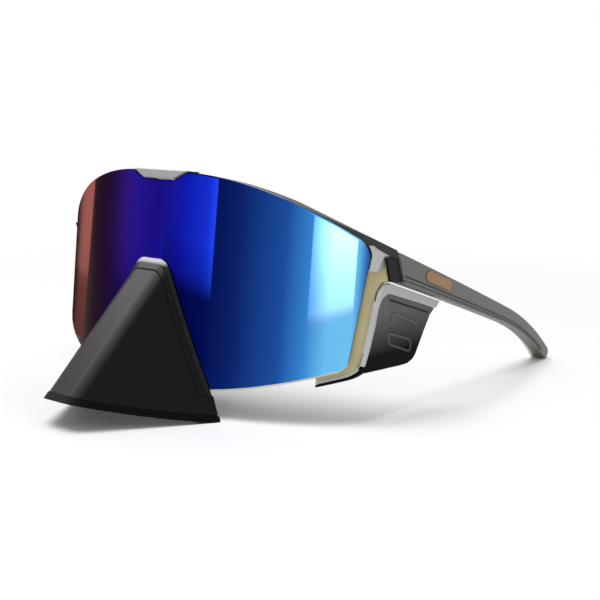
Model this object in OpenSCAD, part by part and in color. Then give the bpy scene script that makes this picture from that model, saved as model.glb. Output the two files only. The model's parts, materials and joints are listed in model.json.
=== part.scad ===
// Mountaineering sunglasses: one cylindrical shield lens on a half-rim frame, folding temples,
// pull-off side shields and a pull-off nose cover.
// Modelled with X to the wearer's left, Y to the back of the head and Z up, and with the
// middle of the lens's top edge at the origin. Module rest() tips it on to the table.

/* [Lens] */
// Radius of the lens's outer face
lens_radius = 107; // [95:1:130]
// Thickness of the lens
lens_t = 2; // [1.6:0.1:2.6]
// Half the chord between the lens's top corners
lens_half_w = 69.5; // [60:0.5:84]
// Height from the top edge to the lowest point
lens_h = 70.3; // [60:0.1:84]
// Half of the flat stretch in the middle of the brow line
brow_flat = 11; // [9:0.5:14]
// Radius at which the brow line falls to each side
brow_fall_r = 101; // [90:1:122]
// Radius at which the lower edge rises to each side
lower_fall_r = 148; // [130:1:178]
// Lean of each end edge from upright, in degrees
end_lean = 5.65; // [3:0.25:8]
// Radius of the lens's corners
lens_corner_r = 6; // [3:0.5:7]

/* [Frame] */
// Height of the bar behind the lens's top edge
bar_h = 6.4; // [5:0.2:8]
// Depth of the bar from front to back
bar_t = 4; // [3:0.25:5]
// Distance from the middle at which the bar's top line runs straight
bar_straight_x = 52; // [45:1:60]
// Height of the endpieces' lower edge, down from the lens's top
end_low = 28.5; // [27:0.5:32]
// Thickness of the tan side rims
rim_t = 1.8; // [1.4:0.1:2.4]
// Width of side rim that shows beside the lens's end
rim_show = 1.6; // [1:0.1:2]
// How far outboard of the lens's corner the temple's outer face lies
side_step = 4.5; // [4.5:0.1:5.5]

/* [Temples] */
// Distance from the hinge pin to the middle of the rounded tip
temple_len = 128.5; // [106:0.5:155]
// Length of the straight stretch behind the hinge
temple_straight = 79; // [60:1:90]
// Fall of the straight stretch, in degrees
temple_drop = 12.95; // [10:0.05:16]
// Radius at which the end bends down
temple_bend_r = 175; // [145:5:260]
// Radius at which the temples curve in towards the head
temple_sweep_r = 1000; // [800:20:1400]
// Thickness of a temple
temple_t = 4.6; // [4.2:0.1:5]
// Half the height of a temple at the hinge
temple_half_h = 4.5; // [4.2:0.1:5]
// Half the height of a temple at the tip
tip_half_h = 2.2; // [1.8:0.1:3.6]
// Thickness of the soft grip
grip_t = 1.6; // [1.3:0.1:3]
// Length of the soft grip
grip_len = 44; // [30:1:50]
// How far the grip stands out round the temple's outline
grip_proud = 0.7; // [0.4:0.1:1.2]

/* [Hinge] */
// Radius of the hinge pin
pin_r = 0.9; // [0.8:0.05:1.1]
// Radial clearance of the pin in the temple's knuckle
pin_gap = 0.05; // [0.03:0.01:0.08]
// Height of the knuckle on the temple
knuckle_h = 3; // [2.4:0.1:3.6]
// Height of the hinge block
block_h = 7.5; // [7:0.1:8.5]

/* [Nose cover] */
// Slope of the ridge below level, in degrees
ridge_deg = 50; // [47:0.5:54]
// Half the angle between the two panels, across the ridge
roof_half = 35.5; // [33:0.5:38]
// Half the width of the flat along the ridge, between its round corners
ridge_flat = 3.1; // [2:0.1:5]
// Radius of the ridge's round corners
ridge_r = 6.5; // [4:0.5:8]
// Wall of the cover
cover_wall = 1.6; // [1.3:0.1:2]
// Radius of the lower edge, seen from the side
sled_r = 290; // [240:5:350]
// Depth of the cover's lower edge under the lens's lowest point
cover_drop = 8.6; // [8:0.2:11]
// Height of the band round the lower edge
band_h = 2.2; // [1.6:0.1:3]

/* [Side shields] */
// Thickness of the rubber flap
flap_t = 1.8; // [1.4:0.1:2.2]
// Width of the light-grey frame down its front
shield_band = 1; // [0.8:0.1:1.6]
// Depth of the light-grey flange along its top
shield_flange = 3.2; // [2.6:0.1:4]
// Lean of the shield, bottom inwards, in degrees
shield_lean = 6; // [4:0.5:8]
// Radius of the two pegs
peg_r = 0.9; // [0.8:0.05:1]

/* [Nose bridge] */
// Height of the top of the nose cut, down from the lens's top
nose_top = 36; // [34:0.5:38]
// Radius at the top of the nose cut
nose_r = 6; // [5:0.25:7]
// Half the angle between the two sides of the nose cut, in degrees
nose_half = 28.5; // [26:0.5:30]
// Width of the bridge's legs
leg_w = 3; // [2.4:0.1:3.4]
// Length of a nose pad
pad_len = 15; // [12:0.5:17]
// Width of a nose pad
pad_w = 8; // [7:0.25:9]

/* [Hidden] */
$fn = 96;
fine = 360;
very_fine = 1440;
// Clearances: between layers, between pieces that slide apart, and round pegs in their holes
layer_gap = 0.2;
part_gap = 0.3;
peg_gap = 0.08;
// Reach of a cut or a tool body past what it works on
over = 60;

// Radii of the layers behind the lens's outer face
lens_in_r = lens_radius - lens_t;
layer_r = lens_in_r - layer_gap;
bar_in_r = layer_r - bar_t;
rim_in_r = layer_r - rim_t;
end_out_r = rim_in_r - layer_gap;
end_in_r = end_out_r - 6;

// Depth of the lens's outer face, or of another radius about the same axis, at a place x
function face_y(x, r) = lens_radius - sqrt(r * r - x * x);
end_y = face_y(lens_half_w, lens_radius);

// Front view: where the end edge lies at height z, and the bar's top line at a place x
corner_z = -18.7;
function end_x(z) = lens_half_w + (z - corner_z) * tan(end_lean);
function fall(a) = brow_fall_r - sqrt(brow_fall_r * brow_fall_r - a * a);
straight_run = bar_straight_x - brow_flat;
bar_slope = 0.43;
function brow_z(x) = let (a = abs(x))
    a <= brow_flat ? 0 : a <= bar_straight_x ? -fall(a - brow_flat)
    : -fall(straight_run) - (a - bar_straight_x) * bar_slope;
bar_drop = 0.4;
lower_flat = 5;

// Hinge and temple
temple_x = lens_half_w + side_step;
pin_x = temple_x - 3.8;
rim_end_x = temple_x - 1.8;
pin_y = face_y(rim_end_x, rim_in_r) - 0.4;
end_top_z = brow_z(temple_x - 0.4) - bar_drop;
hinge_z = end_top_z - 6.9;
block_top = hinge_z + block_h / 2;
block_low = hinge_z - block_h / 2;
ear_r = 2.4;
knuckle_r = 2.2;
temple_front = 3.05;
// The block's outer wall leans: places of its front and back edges at the top and at the bottom
wall_x = pin_x + ear_r + 0.15;
wall_front = [-5.1, -2];
wall_back = [0.5, 4.4];
line_z = hinge_z + 1.05;
// How fast the temple thins along its length, and the grip's slender start and its swelling
temple_taper = 1.25;
grip_start_h = 1.2;
grip_swell = 0.75;
badge_at = 26;
badge_len = 17;
badge_h = 3.6;
badge_proud = 0.3;
badge_deep = 0.6;
// Middle line of a temple, seen from the side: y, z and the slope at u along it
function line_at(u) = u <= temple_straight
    ? [pin_y + u * cos(temple_drop), line_z - u * sin(temple_drop), temple_drop]
    : let (a = temple_drop + (u - temple_straight) / temple_bend_r * 180 / PI)
      [pin_y + temple_straight * cos(temple_drop) + temple_bend_r * (sin(a) - sin(temple_drop)),
       line_z - temple_straight * sin(temple_drop) - temple_bend_r * (cos(temple_drop) - cos(a)),
       a];
tip_at = line_at(temple_len);
tip_r = tip_half_h + grip_proud;

// Nose cover: the flat of the ridge starts here, and the wings reach back under the lens
ridge_y = -3.3;
ridge_z = -nose_top + 3.1;
wing_x = 28;
wing_back = face_y(wing_x, lens_radius) + part_gap;
wing_top = -lens_h + 0.1;
sled_y = 22;
sled_z = -lens_h - cover_drop + sled_r;
shell_from = 3;
frame_from = 1.5;
frame_to = 2.8;
gasket_from = 0.3;
gasket_to = 1.3;
gasket_out = 0.5;
sleeve_t = 1.2;
sleeve_to = 6.5;
peg_z = -nose_top - 4;
cover_peg_r = 1.2;

// Nose bridge
arch_z = -nose_top - nose_r;
leg_low = arch_z - 20;
bridge_back = 5;
pad_z = arch_z - 8;
pad_x = nose_r / cos(nose_half) + 8 * tan(nose_half) + 0.8;
pad_y = face_y(pad_x, lens_in_r) + bridge_back + 3;
pad_ear = 1.2;
pad_knuckle = 7.2;
pad_t = 3.2;

// Side shield, in its own leaning plane: y and z from the middle of its front top corner
shield_x = pin_x + 0.9;
shield_y = end_y + 6.2;
shield_z = block_low - 1.8;
frame_low = -0.2;
frame_high = 1;
flap_out = 0.8;
peg_spots = [[-1.3, -9], [-2.8, -18]];
carrier_in = -1;
tab_in = -2.6;
tab_out = -1.3;
lip_from = 1.5;

// Resting place: the cover's rear corners and the temples' tips stand on small flats
foot_flat = 0.4;
foot_z = sled_z - sqrt(sled_r * sled_r - (wing_back - sled_y) * (wing_back - sled_y));
rest_pitch = atan((tip_at[1] - tip_r - foot_z) / (tip_at[0] - wing_back));
lift = sin(rest_pitch) * wing_back - cos(rest_pitch) * foot_z - foot_flat;
ridge_dir = [-cos(ridge_deg), -sin(ridge_deg)];
from_sled = [ridge_y - sled_y, ridge_z - sled_z];
ridge_len = -from_sled * ridge_dir
    + sqrt(pow(from_sled * ridge_dir, 2) - from_sled * from_sled + sled_r * sled_r);
front_y = sled_y + from_sled[0] + ridge_len * ridge_dir[0];
front_z = sled_z + from_sled[1] + ridge_len * ridge_dir[1];
back_y = tip_at[0] + tip_r;
middle_y = cos(rest_pitch) * (front_y + back_y) / 2 + sin(rest_pitch) * (front_z + tip_at[1]) / 2;

// Tips the glasses on to the table, with the middle of their box over the origin
module rest() translate([0, -middle_y, lift]) rotate([-rest_pitch, 0, 0]) children();

// Cuts what is under the table off a piece that stands on it
module on_table() difference() {
    rest() children();
    translate([-over * 2, -over * 3, -over]) cube([over * 4, over * 6, over]);
}

// A layer of the cylinder that the lens belongs to
module ring(outer, inner) translate([0, lens_radius, -over * 2]) difference() {
    cylinder(r = outer, h = over * 3, $fn = fine);
    translate([0, 0, -1]) cylinder(r = inner, h = over * 3 + 2, $fn = fine);
}

// A front-view outline run from the front to the depth back
module front_prism(back) translate([0, back, 0]) rotate([90, 0, 0])
    linear_extrude(back + over) children();

// A side-view outline of y and z run from x0 to x1
module side_prism(x0, x1) translate([x0, 0, 0]) rotate([90, 0, 90])
    linear_extrude(x1 - x0) children();

// Front view: a band with two round ends, or a V that opens downwards from a flat top between
// two round corners
module stadium(half, z, r) {
    for (side = [-1, 1]) translate([side * half, z]) circle(r = r, $fn = fine);
    translate([-half, z - r]) square([2 * half, 2 * r]);
}
module arch(z, r, half, reach, flat) {
    steps = 12;
    right = concat([[flat + r * cos(half) + reach * sin(half), z + r * sin(half) - reach * cos(half)]],
        [for (i = [0:steps]) let (a = half + (90 - half) * i / steps)
            [flat + r * cos(a), z + r * sin(a)]]);
    polygon(concat(right, [for (i = [len(right) - 1:-1:0]) [-right[i][0], right[i][1]]]));
}
module nose_cut(grow) arch(arch_z, nose_r + grow, nose_half, over, 0.01);

module lens_outline(grow) {
    r = lens_corner_r + grow;
    offset(r = r) offset(delta = -r) intersection() {
        stadium(brow_flat, -brow_fall_r, brow_fall_r + grow);
        stadium(lower_flat, lower_fall_r - lens_h, lower_fall_r + grow);
        polygon([for (p = [[1, 1], [1, -1], [-1, -1], [-1, 1]])
            [p[0] * (end_x(p[1] * over * 2) + grow / cos(end_lean)), p[1] * over * 2]]);
    }
}

// The area under the bar's top line, let down by drop
module under_brow(drop) {
    reach = temple_x + 10;
    steps = 60;
    polygon(concat([[-reach, -over * 2]],
        [for (i = [0:steps]) let (x = reach * (2 * i / steps - 1)) [x, brow_z(x) - drop]],
        [[reach, -over * 2]]));
}

module clip_outline(grow) polygon([[-6.8 - grow, -2.6 - grow], [6.8 + grow, -2.6 - grow],
                                   [12.6 + grow, 0.4], [-12.6 - grow, 0.4]]);

module lens() color("royalblue") rest() intersection() {
    ring(lens_radius, lens_in_r);
    front_prism(lens_radius / 2) difference() {
        lens_outline(0);
        nose_cut(0);
        clip_outline(layer_gap);
    }
}

// What is cut from the left endpiece: room for the block, and the way of the folding temple
module endpiece_cuts() {
    end_back = pin_y - ear_r;
    lip_x = pin_x - 2.8;
    difference() {
        translate([lip_x - 30, end_back, -over]) cube([over, over, over * 2]);
        translate([lip_x, end_back - 1, block_top + 0.1])
            cube([over, pin_y - 0.15 - end_back + 1, over]);
    }
    translate([pin_x - ear_r - 0.2, pin_y - 4.6, -over]) cube([over, over, over + block_top + 0.1]);
    translate([temple_x - 0.4, face_y(temple_x - 0.4, layer_r), end_top_z - 0.65])
        rotate([-13.8, 17.1, 0]) translate([-over / 2, -over, 0]) cube([over, over * 2, over]);
}

module brow_frame() color("dimgray") rest() difference() {
    union() {
        intersection() {
            ring(layer_r, bar_in_r);
            front_prism(lens_radius / 2) intersection() {
                difference() {
                    under_brow(bar_drop);
                    under_brow(bar_h);
                }
                translate([0.4 - temple_x, -over]) square([2 * temple_x - 0.8, over * 2]);
            }
        }
        for (side = [0, 1]) mirror([side, 0, 0]) intersection() {
            ring(end_out_r, end_in_r);
            front_prism(lens_radius / 2) intersection() {
                under_brow(bar_drop + 1.3);
                translate([lens_half_w - 8.5, -end_low]) square([side_step + 8.1, end_low]);
            }
        }
    }
    for (side = [0, 1]) mirror([side, 0, 0]) endpiece_cuts();
    front_prism(lens_radius / 2) clip_outline(layer_gap / 2);
}

module brow_clip() color("darkgray") rest() intersection() {
    ring(lens_radius + 0.3, bar_in_r);
    front_prism(lens_radius / 2) clip_outline(0);
}

// Light-grey clip that holds the lens's top corner, seen from the front
module lens_clip_left() color("darkgray") rest() intersection() {
    ring(lens_radius - 0.1, layer_r + 0.05);
    front_prism(lens_radius / 2) difference() {
        intersection() {
            under_brow(bar_drop + 0.9);
            translate([lens_half_w, corner_z]) polygon([[-4, 2.4], [-1.1, 0.4], [-0.2, -0.45],
                [2.6, -2.3], [1.3, -7.2], [0.65, -7.45], [-4, -7.45]]);
        }
        lens_outline(0.15);
    }
}
module lens_clip_right() mirror([1, 0, 0]) lens_clip_left();

// A side shield lies in a plane that leans in towards the cheek
module in_shield_plane() translate([shield_x, shield_y, shield_z]) rotate([0, shield_lean, 0])
    children();

// Front view: the lens grown by side at its ends and by low along its bottom
module lower_outline(side, low) intersection() {
    lens_outline(side);
    translate([0, side - low]) lens_outline(side);
}
// Front view of what shows of the side rim's outline, from foot_x outwards
foot_x = lens_half_w - 12.9;
rim_low = 0.7;
module rim_outline() intersection() {
    union() {
        lower_outline(rim_show, rim_low);
        polygon([[lens_half_w - 6, 0], [rim_end_x, 0], [rim_end_x, shield_z + 2.2],
                 [rim_end_x - 1.7, shield_z + 1.2], [end_x(-35) + 1.4, shield_z - 3.4],
                 [end_x(-50), -50]]);
    }
    translate([foot_x, -over * 2]) square([over, over * 2]);
}

// Tan side rim, with the tab inside the shield that takes its two pegs
module side_rim_left() color("darkkhaki") rest() difference() {
    union() {
        intersection() {
            ring(layer_r, rim_in_r);
            front_prism(lens_radius / 2) difference() {
                intersection() {
                    under_brow(bar_h + layer_gap);
                    rim_outline();
                }
                lens_outline(-4);
            }
        }
        in_shield_plane() side_prism(tab_in, tab_out)
            polygon([[-3.2, -5.6], [5, -5.6], [4.4, -21], [-4.5, -21]]);
    }
    for (spot = peg_spots) translate([shield_x, shield_y + spot[0], shield_z + spot[1]])
        rotate([0, -90, 0]) cylinder(r = peg_r + peg_gap, h = 12);
    translate([0, 0, block_low - 0.15]) linear_extrude(block_h + 0.3) block_plan(0.15);
}
module side_rim_right() mirror([1, 0, 0]) side_rim_left();

// Plan of the hinge block's two ears, and of the wall outside them
module block_plan(grow) {
    translate([pin_x, pin_y]) circle(r = ear_r + grow);
    polygon([[pin_x - ear_r - grow, pin_y], [pin_x + ear_r + grow, pin_y],
             [pin_x + ear_r + grow, pin_y - 1.6 - grow], [pin_x + 0.8, pin_y - 1.6 - grow],
             [pin_x - ear_r - grow, face_y(pin_x - ear_r, rim_in_r) + 0.15 - grow]]);
}
// Side view of that wall, which the temple's outer layer keeps clear of by gap
module wall_side(gap, reach) polygon([
    [pin_y + wall_front[0] - reach, block_top + gap], [pin_y + wall_back[0] + gap, block_top + gap],
    [pin_y + wall_back[1] + gap, block_low], [pin_y + wall_back[1] + gap, block_low - reach],
    [pin_y + wall_front[1] - reach, block_low - reach]]);

// Dark hinge block behind the endpiece, with two ears for the pin and a leaning outer wall
module hinge_block_left() color("#3c3e3e") rest() difference() {
    union() {
        translate([0, 0, block_low]) linear_extrude(block_h) block_plan(0);
        intersection() {
            side_prism(rim_end_x + 0.15, temple_x - 0.6) wall_side(0, 0);
            translate([0, 0, block_low]) linear_extrude(block_h) {
                translate([wall_x, pin_y - 10]) square(20);
                translate([pin_x, pin_y - 10]) square([10, 10.8]);
            }
        }
    }
    translate([pin_x - 4, pin_y - 2.6, hinge_z - knuckle_h / 2 - layer_gap])
        cube([wall_x - 0.1 - pin_x + 4, 12, knuckle_h + 2 * layer_gap]);
    translate([pin_x, pin_y, block_low - 1]) cylinder(r = pin_r + 0.02, h = block_h + 2);
    translate([pin_x, pin_y, block_low - 1]) cylinder(r = 1.55, h = 1.8);
}
module hinge_block_right() mirror([1, 0, 0]) hinge_block_left();

module hinge_screw_left() color("silver") rest() translate([pin_x, pin_y, block_low]) difference() {
    union() {
        cylinder(r = pin_r, h = block_h - 0.3);
        cylinder(r = 1.5, h = 0.75);
    }
    translate([-0.2, -2, -1]) cube([0.4, 4, 1.4]);
}
module hinge_screw_right() mirror([1, 0, 0]) hinge_screw_left();

// Side-view outline of a temple or its grip, between two places along the middle line
module temple_outline(from, to, half_from, half_to, power) {
    steps = 32;
    function edge(i, side) = let (k = i / steps, p = line_at(from + (to - from) * k),
                                  h = side * (half_to + (half_from - half_to) * pow(1 - k, power)))
        [p[0] + h * sin(p[2]), p[1] + h * cos(p[2])];
    end = line_at(to);
    polygon(concat([for (i = [0:steps]) edge(i, 1)],
        [for (a = [80:-10:-80]) [end[0] + half_to * cos(a - end[2]),
                                 end[1] + half_to * sin(a - end[2])]],
        [for (i = [steps:-1:0]) edge(i, -1)]));
}

// A layer of a temple, counted inwards from its outer face
module temple_layer(outer, inner, x0, x1) intersection() {
    translate([temple_x - temple_sweep_r, pin_y, -over * 2]) difference() {
        cylinder(r = temple_sweep_r - outer, h = over * 3, $fn = very_fine);
        translate([0, 0, -1]) cylinder(r = temple_sweep_r - inner, h = over * 3 + 2,
                                       $fn = very_fine);
    }
    side_prism(x0, x1) children();
}

module badge_outline(grow) {
    at = line_at(badge_at);
    translate([at[0], at[1] + 1.3]) rotate(-temple_drop)
        stadium_bar(badge_len + 2 * grow, badge_h + 2 * grow);
}
module stadium_bar(len, high) offset(r = high / 2 - 0.01, $fn = 48)
    square([len - high + 0.02, 0.02], center = true);

module temple_left() color("dimgray") on_table() difference() {
    union() {
        difference() {
            temple_layer(0, temple_t, 0, temple_x + 5) difference() {
                temple_outline(-4, temple_len, temple_half_h, tip_half_h, temple_taper);
                translate([pin_y + 0.15 - over, -over]) square(over * 2 * [0.5, 1]);
            }
            side_prism(wall_x - 0.15, temple_x + 5) wall_side(0.3, over);
            side_prism(0, wall_x - 0.15)
                translate([pin_y + temple_front - over, block_top + 0.3 - over]) square(over);
            translate([temple_x - 30, pin_y - over, -over])
                cube([30 - temple_x + pin_x, over + temple_front, over]);
        }
        translate([0, 0, hinge_z - knuckle_h / 2]) linear_extrude(knuckle_h) {
            translate([pin_x, pin_y]) circle(r = knuckle_r);
            translate([pin_x - 0.7, pin_y]) square([2.7, temple_front + 2]);
        }
    }
    temple_layer(-1, badge_deep, 0, temple_x + 5) badge_outline(0.08);
    translate([pin_x, pin_y, block_low]) cylinder(r = pin_r + pin_gap, h = block_h);
}
module temple_right() mirror([1, 0, 0]) temple_left();

module temple_tip_left() color("ivory") on_table()
    temple_layer(temple_t + 0.05, temple_t + grip_t, 0, temple_x + 5)
        temple_outline(temple_len - grip_len, temple_len, grip_start_h, tip_r, grip_swell);
module temple_tip_right() mirror([1, 0, 0]) temple_tip_left();

module temple_badge_left() color("peru") rest()
    temple_layer(-badge_proud, badge_deep - 0.05, 0, temple_x + 5) badge_outline(0);
module temple_badge_right() mirror([1, 0, 0]) temple_badge_left();

// Side-view outlines of the shield: the whole plate, and the light-grey frame on it
shield_back = [31.2, -5];
flap_low = -27.3;
module shield_plate() offset(r = 2) offset(delta = -2) polygon([
    [-4.1, -4.6], [-4.4, -12], [-5.2, -19.6], [-6.4, flap_low + 2.1], [-6.3, flap_low],
    [3.5, flap_low + 0.6], [15.5, flap_low + 1.4], [18.7, flap_low + 1.8], [21.4, flap_low + 3],
    [22.7, flap_low + 4.8], [25.5, -14.2], [27.3, -9.4], [shield_back[0] - 0.8, shield_back[1] - 1.2],
    shield_back, [1.3, 1.3], [-1.4, 1], [-3.5, -1.2]]);
module shield_frame_outline() difference() {
    union() {
        shield_plate();
        polygon([[16, -1.8], shield_back + [0.4, 0], shield_back - [1.2, 2.2], [16, -4.6]]);
    }
    offset(r = 3) offset(delta = -3) polygon([
        [-4.3 + shield_band, -7], [-4.4 + shield_band, -12], [-5.2 + shield_band, -19.6],
        [-6.3 + shield_band, flap_low + 2.4], [-30, flap_low + 1.7], [-30, flap_low - 20],
        [60, flap_low - 20], [60, -shield_flange - 9.9], [28, -shield_flange - 3.8],
        [0.8, -shield_flange + 1.4], [-2.4, -shield_flange - 0.1]]);
}
// Side view of the frame's hidden carrier behind the flap, which holds the pegs
module carrier_side(grow) polygon([[-9, -4.6 + grow], [1.2 + grow, -4.6 + grow],
                                   [0.6 + grow, -21 - grow], [-9, -21 - grow]]);
// Foot that carries the shield's lower edge forward under the lens's corner
foot_side = 3.1;
foot_low = 1.6;
lip_side = 3.7;
lip_low = 2.5;
module foot_layer() intersection() {
    ring(layer_r, rim_in_r);
    front_prism(lens_radius / 2) intersection() {
        children();
        translate([foot_x, -over * 2]) square([over, over * 2 - 50]);
    }
}

module shield_frame_left() color("silver") rest() {
    in_shield_plane() {
        side_prism(frame_low, frame_high) shield_frame_outline();
        side_prism(carrier_in, 0) intersection() {
            shield_plate();
            carrier_side(0);
        }
    }
    foot_layer() difference() {
        lower_outline(foot_side, foot_low);
        offset(delta = 0.1) rim_outline();
        lens_outline(-5);
    }
    for (spot = peg_spots) translate([shield_x - 4.4, shield_y + spot[0], shield_z + spot[1]])
        rotate([0, 90, 0]) cylinder(r = peg_r, h = 4.4 + spot[1] * sin(shield_lean));
}
module shield_frame_right() mirror([1, 0, 0]) shield_frame_left();

module shield_flap_left() color("#242424") rest() {
    difference() {
        in_shield_plane() {
            difference() {
                side_prism(flap_out - flap_t, flap_out) difference() {
                    shield_plate();
                    offset(delta = 0.1) shield_frame_outline();
                }
                side_prism(carrier_in - 1, 0.1) carrier_side(0.1);
            }
            side_prism(flap_out - flap_t, frame_low - 0.1) intersection() {
                shield_plate();
                translate([lip_from, -over]) square(over * 2);
            }
        }
        front_prism(face_y(lens_half_w, rim_in_r) + 0.3) lower_outline(foot_side + 0.1, foot_low + 0.1);
    }
    foot_layer() difference() {
        lower_outline(lip_side, lip_low);
        lower_outline(foot_side + 0.1, foot_low + 0.1);
        translate([lens_half_w - 0.9, -over]) square(over);
    }
}
module shield_flap_right() mirror([1, 0, 0]) shield_flap_left();

// The nose cover is a roof run along its ridge; along_ridge() points Z down the ridge
module along_ridge() translate([0, ridge_y, ridge_z]) rotate([90 + ridge_deg, 0, 0]) children();
module roof(grow) along_ridge() translate([0, 0, -over / 2])
    linear_extrude(over * 2) arch(-ridge_r, ridge_r + grow, roof_half, over, ridge_flat);
module roof_wall(outer, inner) difference() {
    roof(outer);
    roof(inner);
}
// Everything behind a face that lies by front before the lens, above the wings
module behind(front) translate([0, lens_radius, wing_top])
    cylinder(r = lens_radius + front, h = over * 2, $fn = fine);
module behind_wings() translate([-over, wing_back, -over * 2]) cube([over * 2, over, over * 3]);
module sled(r) translate([-over, sled_y, sled_z]) rotate([0, 90, 0])
    cylinder(r = r, h = over * 2, $fn = very_fine);

module nose_cover() color("#2b2b2b") rest() intersection() {
    difference() {
        roof_wall(0, -cover_wall);
        behind(shell_from);
        behind_wings();
    }
    sled(sled_r - band_h - 0.1);
}

module nose_cover_rim() color("#1c1c1c") on_table() intersection() {
    difference() {
        roof_wall(0.3, -cover_wall - 0.5);
        behind_wings();
    }
    difference() {
        sled(sled_r);
        sled(sled_r - band_h);
    }
}

// Carrier band, with a sleeve inside the shell on each side of the peg
module nose_cover_frame() color("#333333") rest() {
    intersection() {
        roof_wall(0.2, -cover_wall);
        difference() {
            behind(frame_to);
            behind(frame_from);
        }
    }
    difference() {
        union() {
            intersection() {
                roof_wall(-cover_wall + 0.05, -cover_wall - sleeve_t);
                difference() {
                    behind(frame_to);
                    behind(0.9);
                }
            }
            intersection() {
                roof_wall(-cover_wall - 0.1, -cover_wall - sleeve_t);
                difference() {
                    behind(sleeve_to);
                    behind(frame_to - 0.5);
                }
            }
        }
        translate([-4, -over, -over * 2]) cube([8, over * 2, over * 3]);
    }
}

module nose_cover_gasket() color("#444444") rest() intersection() {
    roof_wall(gasket_out, -cover_wall + 0.1);
    difference() {
        behind(gasket_to);
        behind(gasket_from);
    }
}

// Block under the ridge with the peg that plugs into the bridge
module nose_cover_clip() color("#333333") rest() {
    intersection() {
        roof(-cover_wall - 0.05);
        translate([-2.5, -9.5, peg_z - 5]) cube([5, 5.5, 7]);
    }
    translate([0, -4.2, peg_z]) rotate([rest_pitch - 90, 0, 0]) cylinder(r = cover_peg_r, h = 6.6);
}

// Arch in the nose cut, gripping the lens's edge from behind, with the cover's socket
module bridge_outline(grow) intersection() {
    difference() {
        nose_cut(grow);
        translate([0, -3.4]) nose_cut(-leg_w);
    }
    translate([-over, leg_low]) square(over * 2);
}
module nose_bridge() color("#303030") rest() difference() {
    union() {
        intersection() {
            ring(lens_radius + 0.05, lens_in_r - bridge_back);
            front_prism(over) bridge_outline(-0.2);
        }
        intersection() {
            ring(lens_in_r - 0.1, lens_in_r - 1.8);
            front_prism(over) bridge_outline(2);
        }
    }
    translate([0, -4.2, peg_z]) rotate([rest_pitch - 90, 0, 0]) translate([0, 0, -0.8])
        cylinder(r = cover_peg_r + peg_gap, h = 7.9);
}

// A pad's pivot lies along the bridge's leg, behind it
module at_pad() translate([pad_x, pad_y, pad_z]) rotate([0, -nose_half, 0]) children();

module nose_pad_arm_left() color("silver") rest() at_pad() {
    for (side = [-1, 1]) translate([0, 0, side * (pad_knuckle + pad_ear + 0.6) / 2 - pad_ear / 2])
        linear_extrude(pad_ear) {
            circle(r = 1.7);
            translate([-1.7, -2.7]) square([3.4, 2.7]);
        }
    translate([-1.7, -2.7, -pad_knuckle / 2 - 1]) cube([3.4, 0.7, pad_knuckle + 2]);
    translate([0, 0, -pad_knuckle / 2 - 1]) cylinder(r = pin_r - 0.1, h = pad_knuckle + 2);
}
module nose_pad_arm_right() mirror([1, 0, 0]) nose_pad_arm_left();

module nose_pad_left() color("#3a3a3a") rest() at_pad() difference() {
    union() {
        translate([0, 0, -pad_knuckle / 2]) cylinder(r = 1.8, h = pad_knuckle);
        translate([-1, 5, 0]) rotate([0, 0, -35]) side_prism(-pad_t / 2, pad_t / 2)
            rotate(90) stadium_bar(pad_len, pad_w);
        translate([-1.4, 0.6, -2.6]) cube([2, 4, 5.2]);
    }
    translate([0, 0, -pad_len / 2]) cylinder(r = pin_r - 0.1 + pin_gap, h = pad_len);
}
module nose_pad_right() mirror([1, 0, 0]) nose_pad_left();

lens();
brow_frame();
brow_clip();
nose_bridge();
nose_cover();
nose_cover_rim();
nose_cover_frame();
nose_cover_gasket();
nose_cover_clip();
lens_clip_left();
lens_clip_right();
side_rim_left();
side_rim_right();
hinge_block_left();
hinge_block_right();
hinge_screw_left();
hinge_screw_right();
temple_left();
temple_right();
temple_tip_left();
temple_tip_right();
temple_badge_left();
temple_badge_right();
shield_frame_left();
shield_frame_right();
shield_flap_left();
shield_flap_right();
nose_pad_arm_left();
nose_pad_arm_right();
nose_pad_left();
nose_pad_right();
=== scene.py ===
"""Mountaineering sunglasses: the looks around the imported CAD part."""
import json
import math

import bmesh
import bpy
from mathutils import Matrix, Vector

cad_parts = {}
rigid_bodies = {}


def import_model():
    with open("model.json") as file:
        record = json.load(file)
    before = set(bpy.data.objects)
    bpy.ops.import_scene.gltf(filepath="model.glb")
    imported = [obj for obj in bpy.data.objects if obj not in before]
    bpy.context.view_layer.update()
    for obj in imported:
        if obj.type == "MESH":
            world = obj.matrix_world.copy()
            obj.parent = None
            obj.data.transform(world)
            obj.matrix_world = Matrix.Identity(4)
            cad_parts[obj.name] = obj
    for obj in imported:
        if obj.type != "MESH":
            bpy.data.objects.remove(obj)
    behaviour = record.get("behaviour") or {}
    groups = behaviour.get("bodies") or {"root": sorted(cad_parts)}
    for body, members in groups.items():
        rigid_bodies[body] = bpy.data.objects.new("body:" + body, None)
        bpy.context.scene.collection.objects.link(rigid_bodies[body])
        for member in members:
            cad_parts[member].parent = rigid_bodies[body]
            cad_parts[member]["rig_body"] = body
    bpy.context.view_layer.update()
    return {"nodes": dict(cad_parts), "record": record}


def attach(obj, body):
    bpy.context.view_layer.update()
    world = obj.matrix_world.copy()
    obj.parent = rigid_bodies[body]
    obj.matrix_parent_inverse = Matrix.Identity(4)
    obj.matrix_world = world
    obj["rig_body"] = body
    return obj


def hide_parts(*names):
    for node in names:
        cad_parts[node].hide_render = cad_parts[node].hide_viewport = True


MM = 0.001
SIDES = {"left": 1, "right": -1}

# The glasses are drawn in millimetres in the wearer's own axes: X to the wearer's left, Y to the
# back, Z up, from the middle of the lens's top edge. These three tip them on to the table.
LEAN_DEG = 5.92193
MIDDLE_Y = 53.9553
LIFT = 77.9402
TURN = Matrix.Rotation(math.radians(-LEAN_DEG), 4, "X")
REST = Matrix.Translation((0, -MIDDLE_Y * MM, LIFT * MM)) @ TURN @ Matrix.Scale(MM, 4)

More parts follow.
